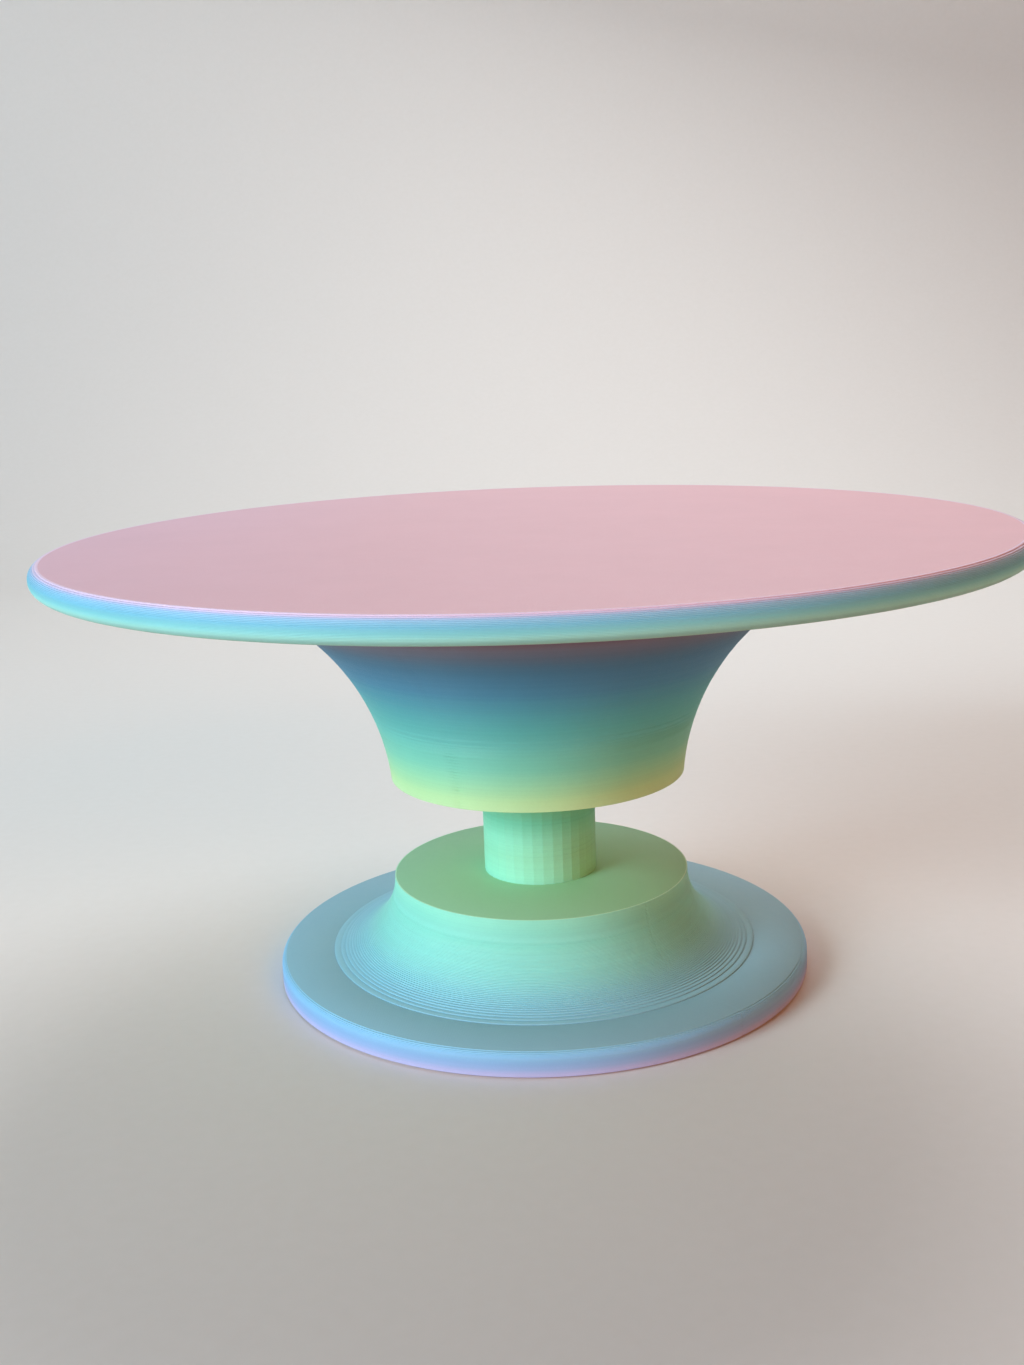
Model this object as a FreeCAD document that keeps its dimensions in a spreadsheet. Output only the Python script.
import FreeCAD, Part
import math
import os

import Sketcher

# A cake turntable in two large pieces: a round base whose tubular post rises from
# a flared foot, and a round platter whose underside sweeps down into a
# trumpet-shaped hub.  The platter turns on an M8 bolt that runs down the inside
# of the post in two 608 ball bearings.
#
# Frame: origin on the resting plane, on the turning axis; +Z up; millimetres.

Vec = FreeCAD.Vector

FOOT_COUNT = 6
SCREW_COUNT = 3
BALL_COUNT = 7

# Driving dimensions, and in quotes the ones worked out from rows above them.
# Endings: _r radius, _w width, _h height, _z level, _flats width across flats.
SIZES = [
    # rubber foot pads and their pockets
    ("foot_standoff", 0.5),        # how far the pads lift the base
    ("foot_pad_r", 6.0),
    ("foot_pad_thick", 2.0),
    ("foot_pad_play", 0.2),
    ("foot_pocket_r", "foot_pad_r + foot_pad_play"),
    ("foot_circle_r", 61.0),
    ("foot_edge", 0.4),
    # 608 ball bearing
    ("bearing_r", 11.0),
    ("bearing_bore_r", 4.0),
    ("bearing_w", 7.0),
    ("bearing_chamfer", 0.3),
    ("inner_land_r", 6.05),
    ("outer_land_r", 9.0),
    ("shield_seat_r", 9.6),
    ("shield_seat_depth", 0.6),
    ("shield_thick", 0.4),
    ("shield_hole_r", 6.3),
    ("ball_r", 1.9845),
    ("ball_pitch_r", 7.5),
    ("race_play", 0.02),           # between a ball and the bottom of its raceway
    ("race_r", 2.065),             # radius of the raceway's cross-section
    ("outer_race_centre_r", "ball_pitch_r + ball_r + race_play - race_r"),
    ("outer_race_offset", "outer_land_r - outer_race_centre_r"),
    ("outer_race_half_w", "sqrt(race_r * race_r - outer_race_offset * outer_race_offset)"),
    ("inner_race_centre_r", "ball_pitch_r - ball_r - race_play + race_r"),
    ("inner_race_offset", "inner_land_r - inner_race_centre_r"),
    ("inner_race_half_w", "sqrt(race_r * race_r - inner_race_offset * inner_race_offset)"),
    ("cage_inner_r", 6.9),
    ("cage_outer_r", 8.1),
    ("cage_h", 4.8),
    ("cage_pocket_r", 2.05),
    # bottom cover
    ("cover_r", 15.0),
    ("cover_thick", 2.0),
    ("cover_edge", 0.4),
    ("cover_skirt_inner_r", 10.0),
    ("cover_skirt_h", 4.0),
    ("cover_skirt_chamfer", 0.5),
    ("cover_gap", 0.3),            # how far the cover sits up inside its seat
    ("cover_play", 0.2),
    ("cover_notch_w", 5.0),
    ("cover_notch_depth", 1.2),
    # base; its levels are above the flange's underside
    ("flange_r", 72.8),
    ("flange_thick", 6.2),
    ("flange_edge_r", 2.0),
    ("base_top_z", 26.0),
    ("flare_r", "base_top_z - flange_thick"),
    ("flare_top_r", 40.5),
    ("flare_foot_r", "flare_top_r + flare_r"),   # where the flare meets the flange's flat
    ("post_r", 15.5),
    ("post_top_z", 84.0),
    ("post_bore_r", 9.25),
    ("post_chamfer", 0.8),
    ("recess_r", 11.4),
    ("recess_depth", 23.6),
    ("cover_seat_r", "cover_r + cover_play"),
    ("cover_seat_depth", 2.3),
    # spacers over the inner rings only, and the washer
    ("ring_r", 6.0),
    ("ring_hole_r", 4.05),
    ("ring_h", 2.0),
    ("ring_chamfer", 0.2),
    ("tube_r", "ring_r"),
    ("tube_hole_r", 4.3),
    ("tube_h", "post_top_z - recess_depth - 2 * bearing_w"),
    ("washer_r", 8.0),
    ("washer_thick", 1.6),
    ("washer_hole_r", 4.2),
    # M8 bolt
    ("cut_over", 1.0),             # how far cutting outlines reach past the material
    ("bevel_reach", 2.0),          # how far hexagon bevels reach past the flats
    ("spindle_r", "bearing_bore_r"),
    ("spindle_len", 80.0),
    ("spindle_chamfer", 0.8),
    ("bolt_flats", 13.0),
    ("bolt_head_h", 5.3),
    ("bolt_bevel_inset", 0.3),
    ("bolt_bevel_drop", 1.3),
    # lock nut and its nylon ring
    ("nut_flats", 13.0),
    ("nut_h", 8.0),
    ("nut_hex_h", 6.4),
    ("nut_bevel_inset", 0.2),
    ("nut_bevel_drop", 1.2),
    ("nut_collar_r", 5.9),
    ("nut_collar_h", "nut_h - nut_hex_h"),
    ("nut_shoulder_w", 0.5),
    ("nut_shoulder_h", 0.4),
    ("bore_overlap", 0.5),         # how far the insert cuts start inside the bore
    ("insert_r", 5.2),
    ("insert_h", 2.0),
    ("insert_lip", 0.4),
    ("insert_lip_r", 4.7),
    # platter and hub
    ("platter_r", 127.0),
    ("platter_thick", 6.0),
    ("platter_edge_r", 2.9),
    ("platter_top_z", 120.0),      # above the resting plane
    ("hub_bottom_z", 54.7),        # above the resting plane
    ("hub_arc_r", 65.0),
    ("hub_neck_r", 39.7),          # radius where the trumpet would become vertical
    ("socket_r", 17.5),
    ("hex_play", 0.3),
    ("hex_pocket_flats", "bolt_flats + hex_play"),
    ("hex_pocket_depth", 5.6),
    # clamp plate and its screws
    ("plate_play", 0.3),
    ("plate_r", "socket_r - plate_play"),
    ("plate_thick", 4.0),
    ("plate_hole_r", 4.2),
    ("screw_circle_r", 12.5),
    ("screw_r", 1.5),
    ("screw_head_r", 2.9),
    ("screw_head_h", 1.6),
    ("screw_len", 12.0),
    ("screw_slot_w", 0.9),
    ("screw_slot_len", 3.6),
    ("screw_slot_depth", 0.9),
    ("screw_hole_spare", 1.0),     # hole depth beyond the screw's tip
    # stack along the axis: lower face of each piece above the resting plane
    ("cover_z", "foot_standoff + cover_gap"),
    ("lower_bearing_z", "foot_standoff + recess_depth"),
    ("tube_z", "lower_bearing_z + bearing_w"),
    ("lower_ring_z", "lower_bearing_z - ring_h"),
    ("washer_z", "lower_ring_z - washer_thick"),
    ("nut_z", "washer_z - nut_h"),
    ("insert_z", "nut_z + insert_lip"),
    ("upper_ring_z", "foot_standoff + post_top_z"),
    ("upper_bearing_z", "upper_ring_z - bearing_w"),
    ("plate_z", "upper_ring_z + ring_h"),
    ("bolt_head_z", "plate_z + plate_thick"),
    # platter levels above the hub's lower end
    ("disc_top_z", "platter_top_z - hub_bottom_z"),
    ("disc_under_z", "disc_top_z - platter_thick"),
    ("socket_roof_z", "bolt_head_z - hub_bottom_z"),
    ("hub_arc_drop", "hub_arc_r - disc_under_z"),    # arc centre below the hub's end
    ("hub_rim_r", "hub_neck_r + hub_arc_r"),         # where the trumpet meets the disc
    ("hub_end_r", "hub_rim_r - sqrt(hub_arc_r * hub_arc_r - hub_arc_drop * hub_arc_drop)"),
]
ALIASES = {alias for alias, _ in SIZES}

doc = FreeCAD.newDocument("CakeTurntable")
dims = doc.addObject("Spreadsheet::Sheet", "Dims")
for row, (alias, value) in enumerate(SIZES, start=1):
    dims.set("A%d" % row, alias)
    dims.set("B%d" % row, "=" + value if isinstance(value, str) else repr(value))
    dims.setAlias("B%d" % row, alias)
scratch = doc.addObject("Spreadsheet::Sheet", "Scratch")      # removed before export
doc.recompute()


# ---------------------------------------------------------------- expressions
def bound(expression):
    """Write the sheet's name before each alias of an expression."""
    written = ""
    word = ""
    for char in expression + " ":
        if char.isalnum() or char == "_":
            word += char
        else:
            written += ("Dims." + word if word in ALIASES else word) + char
            word = ""
    return written.strip()


def value_of(expression):
    """The number an expression gives, for a sketch's start shape."""
    scratch.set("A1", "=" + bound(expression))
    scratch.recompute()
    value = scratch.get("A1")
    return float(getattr(value, "Value", value))


def on_circle(radius, index, count):
    """X and Y expressions of one of count equally spaced places, the first on +X."""
    angle = "%d * 360 deg / %d" % (index, count)
    return "%s * cos(%s)" % (radius, angle), "%s * sin(%s)" % (radius, angle)


# ---------------------------------------------------------------- sketches
LEFT, RIGHT = 1, -1                # side of the travel on which an arc's centre lies
START, END, CENTRE = 1, 2, 3       # vertices of a sketch edge
ORIGIN = (-1, START)
X_AXIS, Y_AXIS = -1, -2


def origin_feature(body, role):
    return [f for f in body.Origin.OriginFeatures if f.Role == role][0]


def new_sketch(body, plane, name):
    sketch = body.newObject("Sketcher::SketchObject", name)
    sketch.AttachmentSupport = [(origin_feature(body, plane), "")]
    sketch.MapMode = "FlatFace"
    return sketch


def drive(sketch, constraint, name, expression):
    """Add a named constraint whose value follows an expression."""
    index = sketch.addConstraint(constraint)
    sketch.renameConstraint(index, name)
    sketch.setExpression("Constraints." + name, bound(expression))


def pin_point(sketch, edge, vertex, x, y, tag):
    """Hold one sketch point at the expressions x and y."""
    for suffix, kind, axis, place in (("_x", "DistanceX", Y_AXIS, x),
                                      ("_y", "DistanceY", X_AXIS, y)):
        value = value_of(place)
        if abs(value) < 1e-9:
            sketch.addConstraint(Sketcher.Constraint("PointOnObject", edge, vertex, axis))
        elif value > 0:
            distance = Sketcher.Constraint(kind, *ORIGIN, edge, vertex, value)
            drive(sketch, distance, tag + suffix, place)
        else:
            distance = Sketcher.Constraint(kind, edge, vertex, *ORIGIN, -value)
            drive(sketch, distance, tag + suffix, "-(" + place + ")")


def add_arc(sketch, start, end, radius, side):
    """Minor arc from start to end; returns its index and its vertices in travel order."""
    chord = end.sub(start)
    half = chord.Length / 2.0
    rise = math.sqrt(max(radius * radius - half * half, 0.0))
    leftward = Vec(-chord.y, chord.x, 0).normalize()
    centre = start.add(end).multiply(0.5).add(leftward.multiply(rise * side))
    # a sketch arc always runs anticlockwise
    first, last = (start, end) if side == LEFT else (end, start)
    angle_1 = math.atan2(first.y - centre.y, first.x - centre.x)
    angle_2 = math.atan2(last.y - centre.y, last.x - centre.x)
    if angle_2 <= angle_1:
        angle_2 += 2 * math.pi
    circle = Part.Circle(centre, Vec(0, 0, 1), radius)
    edge = sketch.addGeometry(Part.ArcOfCircle(circle, angle_1, angle_2), False)
    return (edge, START, END) if side == LEFT else (edge, END, START)


def draw_profile(sketch, points):
    """Closed outline.  A point (x, y) starts a straight edge; a point
    (x, y, radius, side) starts an arc with its centre on that side of the travel."""
    count = len(points)
    corners = [Vec(value_of(point[0]), value_of(point[1]), 0) for point in points]
    edges = []
    for k, point in enumerate(points):
        start, end = corners[k], corners[(k + 1) % count]
        if len(point) > 2:
            edges.append(add_arc(sketch, start, end, value_of(point[2]), point[3]))
        else:
            edge = sketch.addGeometry(Part.LineSegment(start, end), False)
            edges.append((edge, START, END))
    for k, (edge, _, last) in enumerate(edges):
        following, first, _ = edges[(k + 1) % count]
        sketch.addConstraint(Sketcher.Constraint("Coincident", edge, last, following, first))
    for k, (point, (edge, first, _)) in enumerate(zip(points, edges)):
        pin_point(sketch, edge, first, point[0], point[1], "p%d" % k)
        if len(point) > 2:
            radius = Sketcher.Constraint("Radius", edge, value_of(point[2]))
            drive(sketch, radius, "arc%d" % k, point[2])


def draw_circle(sketch, x, y, radius):
    centre = Vec(value_of(x), value_of(y), 0)
    size = value_of(radius)
    edge = sketch.addGeometry(Part.Circle(centre, Vec(0, 0, 1), size), False)
    drive(sketch, Sketcher.Constraint("Radius", edge, size), "circle_r", radius)
    pin_point(sketch, edge, CENTRE, x, y, "circle")


def draw_hexagon(sketch, flats):
    """Hexagon about the origin, with two of its flats facing +X and -X."""
    half = flats + " / 2"
    half_side = flats + " / (2 * sqrt(3))"
    corner = flats + " / sqrt(3)"
    draw_profile(sketch, [
        (half, "-(" + half_side + ")"),
        (half, half_side),
        ("0", corner),
        ("-(" + half + ")", half_side),
        ("-(" + half + ")", "-(" + half_side + ")"),
        ("0", "-(" + corner + ")"),
    ])


# ---------------------------------------------------------------- body features
def new_body(label, z):
    body = doc.addObject("PartDesign::Body", "Body_" + label)
    body.Label = label
    body.setExpression("Placement.Base.z", bound(z))
    return body


def turn(body, kind, name, points):
    """Full turn about Z of an outline whose points are (radius, z)."""
    sketch = new_sketch(body, "XZ_Plane", name + "Profile")
    draw_profile(sketch, points)
    feature = body.newObject(kind, name)
    feature.Profile = sketch
    feature.ReferenceAxis = (sketch, ["V_Axis"])
    feature.Angle = 360
    doc.recompute()


def turned_body(label, z, points):
    body = new_body(label, z)
    turn(body, "PartDesign::Revolution", "Turned_" + label, points)
    return body


def require_removal(body, before, name):
    if not body.Shape.Volume < before - 1e-6:
        raise RuntimeError(name + " removed nothing")


def groove(body, name, points):
    before = body.Shape.Volume
    turn(body, "PartDesign::Groove", name, points)
    require_removal(body, before, name)


def extrude(body, kind, name, plane, draw, length, reverse):
    sketch = new_sketch(body, plane, name + "Outline")
    draw(sketch)
    feature = body.newObject(kind, name)
    feature.Profile = sketch
    feature.setExpression("Length", bound(length))
    feature.Reversed = reverse
    doc.recompute()
    return feature


def pad(body, name, draw, length, down=False):
    extrude(body, "PartDesign::Pad", name, "XY_Plane", draw, length, down)


def pocket(body, name, draw, length, plane="XY_Plane"):
    """Cut from the plane towards its positive side: up from XY, along +X from YZ."""
    before = body.Shape.Volume
    feature = extrude(body, "PartDesign::Pocket", name, plane, draw, length, True)
    require_removal(body, before, name)
    return feature


def repeat_around(body, name, cut, count):
    before = body.Shape.Volume
    feature = body.newObject("PartDesign::PolarPattern", name)
    feature.Originals = [cut]
    feature.Axis = (origin_feature(body, "Z_Axis"), [""])
    feature.Angle = 360
    feature.Occurrences = count
    body.Tip = feature
    doc.recompute()
    require_removal(body, before, name)


# ---------------------------------------------------------------- Part objects
def primitive(kind, name, sizes, x="0", y="0", z="0"):
    solid = doc.addObject("Part::" + kind, name)
    for prop, size in sizes.items():
        solid.setExpression(prop, bound(size))
    for axis, place in (("x", x), ("y", y), ("z", z)):
        if place != "0":
            solid.setExpression("Placement.Base." + axis, bound(place))
    return solid


def boolean(kind, name, first, tool):
    result = doc.addObject("Part::" + kind, name)
    result.Base = first
    result.Tool = tool
    return result


def compound(name, label, members):
    group = doc.addObject("Part::Compound", name)
    group.Links = members
    group.Label = label
    return group


def screw_shank(name, x, y, length):
    return primitive("Cylinder", name, {"Radius": "screw_r", "Height": length}, x, y)


def screw_cone(name, x, y):
    """Countersunk head, its wide face down."""
    sizes = {"Radius1": "screw_head_r", "Radius2": "screw_r", "Height": "screw_head_h"}
    return primitive("Cone", name, sizes, x, y)


# ---------------------------------------------------------------- base and platter
def make_base():
    """Flange, quarter-circle flare and hollow post, bored from below for the lower
    bearing and the lock nut, and from the post's top for the upper bearing."""
    body = turned_body("base", "foot_standoff", [
        ("cover_seat_r", "0"),
        ("flange_r", "0"),
        ("flange_r", "flange_thick - flange_edge_r", "flange_edge_r", LEFT),
        ("flange_r - flange_edge_r", "flange_thick"),
        ("flare_foot_r", "flange_thick", "flare_r", RIGHT),
        ("flare_top_r", "base_top_z"),
        ("post_r", "base_top_z"),
        ("post_r", "post_top_z - post_chamfer"),
        ("post_r - post_chamfer", "post_top_z"),
        ("bearing_r", "post_top_z"),
        ("bearing_r", "post_top_z - bearing_w"),
        ("post_bore_r", "post_top_z - bearing_w"),
        ("post_bore_r", "recess_depth + bearing_w"),
        ("bearing_r", "recess_depth + bearing_w"),
        ("bearing_r", "recess_depth"),
        ("recess_r", "recess_depth"),
        ("recess_r", "cover_seat_depth"),
        ("cover_seat_r", "cover_seat_depth"),
    ])
    foot_pocket = pocket(
        body, "FootPocket",
        lambda sketch: draw_circle(sketch, "foot_circle_r", "0", "foot_pocket_r"),
        "foot_pad_thick - foot_standoff")
    repeat_around(body, "FootPockets", foot_pocket, FOOT_COUNT)
    return body


def make_platter():
    """Disc with rounded edges and the trumpet hub below it.  The hub's socket clears
    the post; above its roof are the bolt head's pocket and the screw holes."""
    body = turned_body("platter", "hub_bottom_z", [
        ("0", "socket_roof_z"),
        ("socket_r", "socket_roof_z"),
        ("socket_r", "0"),
        ("hub_end_r", "0", "hub_arc_r", RIGHT),
        ("hub_rim_r", "disc_under_z"),
        ("platter_r - platter_edge_r", "disc_under_z", "platter_edge_r", LEFT),
        ("platter_r", "disc_under_z + platter_edge_r"),
        ("platter_r", "disc_top_z - platter_edge_r", "platter_edge_r", LEFT),
        ("platter_r - platter_edge_r", "disc_top_z"),
        ("0", "disc_top_z"),
    ])
    pocket(body, "BoltHeadPocket", lambda sketch: draw_hexagon(sketch, "hex_pocket_flats"),
           "socket_roof_z + hex_pocket_depth")
    screw_hole = pocket(
        body, "ScrewHole",
        lambda sketch: draw_circle(sketch, "screw_circle_r", "0", "screw_r"),
        "socket_roof_z + screw_len - plate_thick + screw_hole_spare")
    repeat_around(body, "ScrewHoles", screw_hole, SCREW_COUNT)
    return body


# ---------------------------------------------------------------- clamp plate
def make_clamp_plate():
    """Round plate on the socket's roof; it traps the spindle bolt's head."""
    blank = primitive("Cylinder", "PlateBlank", {"Radius": "plate_r", "Height": "plate_thick"})
    bore = primitive("Cylinder", "PlateBore",
                     {"Radius": "plate_hole_r", "Height": "plate_thick"})
    plate = boolean("Cut", "PlateBored", blank, bore)
    for k in range(SCREW_COUNT):
        x, y = on_circle("screw_circle_r", k, SCREW_COUNT)
        hole = screw_shank("PlateHole%d" % k, x, y, "plate_thick")
        sink = screw_cone("PlateSink%d" % k, x, y)
        plate = boolean("Cut", "PlateDrilled%d" % k, plate, hole)
        plate = boolean("Cut", "PlateSunk%d" % k, plate, sink)
    plate.Label = "spindle_clamp_plate"
    plate.setExpression("Placement.Base.z", bound("plate_z"))
    return plate


def slot_box(name, x, y, length, width):
    """Box centred on (x, y), one arm of a screw's cross slot."""
    return primitive("Box", name,
                     {"Length": length, "Width": width, "Height": "screw_slot_depth"},
                     x + " - " + length + " / 2", y + " - " + width + " / 2")


def make_clamp_screws():
    """Countersunk screws, heads down, through the plate into the hub."""
    screws = []
    for k in range(SCREW_COUNT):
        x, y = on_circle("screw_circle_r", k, SCREW_COUNT)
        head = screw_cone("ScrewHead%d" % k, x, y)
        shank = screw_shank("ScrewShank%d" % k, x, y, "screw_len")
        whole = boolean("Fuse", "ScrewWhole%d" % k, head, shank)
        arm_x = slot_box("ScrewSlotX%d" % k, x, y, "screw_slot_len", "screw_slot_w")
        arm_y = slot_box("ScrewSlotY%d" % k, x, y, "screw_slot_w", "screw_slot_len")
        cross = boolean("Fuse", "ScrewCross%d" % k, arm_x, arm_y)
        screws.append(boolean("Cut", "Screw%d" % k, whole, cross))
    group = compound("ClampScrews", "clamp_screws", screws)
    group.setExpression("Placement.Base.z", bound("plate_z"))
    return group


# ---------------------------------------------------------------- spindle
def bevel_hexagon(body, name, flats, height, inset, drop):
    """Cone off the upper corners of a hexagonal head."""
    outside = flats + " / 2 + bevel_reach"
    groove(body, name, [
        (flats + " / 2 - " + inset, height),
        (outside, height + " - " + drop),
        (outside, height),
    ])


def make_spindle_bolt():
    """M8 bolt, head up in the hub; its own origin is under the head."""
    body = new_body("spindle_bolt", "bolt_head_z")
    pad(body, "BoltHead", lambda sketch: draw_hexagon(sketch, "bolt_flats"), "bolt_head_h")
    pad(body, "BoltShank", lambda sketch: draw_circle(sketch, "0", "0", "spindle_r"),
        "spindle_len", down=True)
    groove(body, "BoltTip", [
        ("spindle_r - spindle_chamfer", "-spindle_len"),
        ("spindle_r + cut_over", "-spindle_len"),
        ("spindle_r + cut_over", "spindle_chamfer + cut_over - spindle_len"),
    ])
    bevel_hexagon(body, "BoltHeadBevel", "bolt_flats", "bolt_head_h",
                  "bolt_bevel_inset", "bolt_bevel_drop")
    return body


def make_plain_ring(label, outer, hole, height, z):
    """Ring with both outer edges chamfered."""
    return turned_body(label, z, [
        (hole, "0"),
        (outer + " - ring_chamfer", "0"),
        (outer, "ring_chamfer"),
        (outer, height + " - ring_chamfer"),
        (outer + " - ring_chamfer", height),
        (hole, height),
    ])


def make_lock_nut():
    """Hexagon with a round collar at its lower end that holds a nylon ring."""
    body = new_body("lock_nut", "nut_z")
    pad(body, "NutBlank", lambda sketch: draw_hexagon(sketch, "nut_flats"), "nut_h")
    groove(body, "NutCollar", [
        ("nut_collar_r", "0"),
        ("nut_flats", "0"),
        ("nut_flats", "nut_collar_h"),
        ("nut_collar_r + nut_shoulder_w", "nut_collar_h"),
        ("nut_collar_r", "nut_collar_h - nut_shoulder_h"),
    ])
    bevel_hexagon(body, "NutBevel", "nut_flats", "nut_h", "nut_bevel_inset", "nut_bevel_drop")
    pocket(body, "NutBore", lambda sketch: draw_circle(sketch, "0", "0", "spindle_r"), "nut_h")
    groove(body, "InsertSeat", [
        ("spindle_r - bore_overlap", "insert_lip"),
        ("insert_r", "insert_lip"),
        ("insert_r", "insert_lip + insert_h"),
        ("spindle_r - bore_overlap", "insert_lip + insert_h"),
    ])
    groove(body, "InsertMouth", [
        ("spindle_r - bore_overlap", "0"),
        ("insert_lip_r", "0"),
        ("insert_lip_r", "insert_lip"),
        ("spindle_r - bore_overlap", "insert_lip"),
    ])
    return body


def make_square_ring(label, inner, outer, bottom, top, z):
    """Ring of rectangular section between two levels of its own frame."""
    return turned_body(label, z, [
        (inner, bottom), (outer, bottom), (outer, top), (inner, top),
    ])


# ---------------------------------------------------------------- bearings
def make_outer_ring(label, z):
    """Outer ring with its raceway and a stepped seat for each shield."""
    return turned_body(label, z, [
        ("shield_seat_r", "0"),
        ("bearing_r - bearing_chamfer", "0"),
        ("bearing_r", "bearing_chamfer"),
        ("bearing_r", "bearing_w - bearing_chamfer"),
        ("bearing_r - bearing_chamfer", "bearing_w"),
        ("shield_seat_r", "bearing_w"),
        ("shield_seat_r", "bearing_w - shield_seat_depth"),
        ("outer_land_r", "bearing_w - shield_seat_depth"),
        ("outer_land_r", "bearing_w / 2 + outer_race_half_w", "race_r", RIGHT),
        ("outer_land_r", "bearing_w / 2 - outer_race_half_w"),
        ("outer_land_r", "shield_seat_depth"),
        ("shield_seat_r", "shield_seat_depth"),
    ])


def make_inner_ring(label, z):
    return turned_body(label, z, [
        ("bearing_bore_r + bearing_chamfer", "0"),
        ("inner_land_r", "0"),
        ("inner_land_r", "bearing_w / 2 - inner_race_half_w", "race_r", RIGHT),
        ("inner_land_r", "bearing_w / 2 + inner_race_half_w"),
        ("inner_land_r", "bearing_w"),
        ("bearing_bore_r + bearing_chamfer", "bearing_w"),
        ("bearing_bore_r", "bearing_w - bearing_chamfer"),
        ("bearing_bore_r", "bearing_chamfer"),
    ])


def make_balls(which, z):
    balls = []
    for k in range(BALL_COUNT):
        x, y = on_circle("ball_pitch_r", k, BALL_COUNT)
        balls.append(primitive("Sphere", "Ball_%s_%d" % (which, k), {"Radius": "ball_r"}, x, y))
    group = compound("Balls_" + which, which + "_bearing_balls", balls)
    group.setExpression("Placement.Base.z", bound(z + " + bearing_w / 2"))
    return group


def make_cage(which, z):
    """One ring drilled through radially for each ball."""
    body = make_square_ring(which + "_bearing_cage", "cage_inner_r", "cage_outer_r",
                            "(bearing_w - cage_h) / 2", "(bearing_w + cage_h) / 2", z)
    hole = pocket(body, "CageHole_" + which,
                  lambda sketch: draw_circle(sketch, "0", "bearing_w / 2", "cage_pocket_r"),
                  "cage_outer_r + cut_over", plane="YZ_Plane")
    repeat_around(body, "CageHoles_" + which, hole, BALL_COUNT)
    return body


def make_bearing(which, z):
    """The six pieces of a shielded deep-groove bearing, its lower face at z."""
    pieces = [
        make_outer_ring(which + "_bearing_outer_ring", z),
        make_inner_ring(which + "_bearing_inner_ring", z),
        make_balls(which, z),
        make_cage(which, z),
    ]
    for side, level in (("bottom", "shield_seat_depth - shield_thick"),
                        ("top", "bearing_w - shield_seat_depth")):
        pieces.append(make_square_ring("%s_bearing_%s_shield" % (which, side), "shield_hole_r",
                                       "shield_seat_r", "0", "shield_thick", z + " + " + level))
    return pieces


# ---------------------------------------------------------------- underside
def make_bottom_cover():
    """Push-in disc that hides the lock nut, with a short skirt that grips the
    recess, and a notch in its edge on the +X side to lever it out."""
    body = turned_body("bottom_cover", "cover_z", [
        ("0", "0"),
        ("cover_r - cover_edge", "0"),
        ("cover_r", "cover_edge"),
        ("cover_r", "cover_thick"),
        ("recess_r", "cover_thick"),
        ("recess_r", "cover_thick + cover_skirt_h - cover_skirt_chamfer"),
        ("recess_r - cover_skirt_chamfer", "cover_thick + cover_skirt_h"),
        ("cover_skirt_inner_r", "cover_thick + cover_skirt_h"),
        ("cover_skirt_inner_r", "cover_thick"),
        ("0", "cover_thick"),
    ])
    pocket(body, "CoverNotch", lambda sketch: draw_profile(sketch, [
        ("cover_r - cover_notch_depth", "-cover_notch_w / 2"),
        ("cover_r + cut_over", "-cover_notch_w / 2"),
        ("cover_r + cut_over", "cover_notch_w / 2"),
        ("cover_r - cover_notch_depth", "cover_notch_w / 2"),
    ]), "cover_thick")
    return body


def make_foot_pads():
    """Rubber discs with a bevelled lower edge, in the pockets under the flange."""
    pads = []
    for k in range(FOOT_COUNT):
        x, y = on_circle("foot_circle_r", k, FOOT_COUNT)
        bevel = primitive("Cone", "FootBevel%d" % k,
                          {"Radius1": "foot_pad_r - foot_edge", "Radius2": "foot_pad_r",
                           "Height": "foot_edge"}, x, y)
        disc = primitive("Cylinder", "FootDisc%d" % k,
                         {"Radius": "foot_pad_r", "Height": "foot_pad_thick - foot_edge"},
                         x, y, "foot_edge")
        pads.append(boolean("Fuse", "FootPad%d" % k, bevel, disc))
    return compound("FootPads", "foot_pads", pads)


# ---------------------------------------------------------------- build and export
nodes = [
    make_base(),
    make_platter(),
    make_clamp_plate(),
    make_clamp_screws(),
    make_spindle_bolt(),
    make_plain_ring("upper_spacer_ring", "ring_r", "ring_hole_r", "ring_h", "upper_ring_z"),
    make_plain_ring("bearing_spacer_tube", "tube_r", "tube_hole_r", "tube_h", "tube_z"),
    make_plain_ring("lower_spacer_ring", "ring_r", "ring_hole_r", "ring_h", "lower_ring_z"),
    make_plain_ring("spindle_washer", "washer_r", "washer_hole_r", "washer_thick", "washer_z"),
    make_lock_nut(),
    make_square_ring("lock_nut_insert", "spindle_r", "insert_r", "0", "insert_h", "insert_z"),
    *make_bearing("upper", "upper_bearing_z"),
    *make_bearing("lower", "lower_bearing_z"),
    make_bottom_cover(),
    make_foot_pads(),
]

doc.removeObject("Scratch")
doc.recompute()
problems = []
for obj in doc.Objects:
    state = " ".join(obj.State)
    if "Invalid" in state or "Error" in state:
        problems.append("%s: %s" % (obj.Name, state))
for node in nodes:
    if node.Shape.isNull() or not node.Shape.isValid() or not node.Shape.Solids:
        problems.append(node.Label + ": null or invalid shape")
if problems:
    raise SystemExit("\n".join(problems))

os.makedirs("parts", exist_ok=True)
for node in nodes:
    node.Shape.exportStep(os.path.join("parts", node.Label + ".step"))
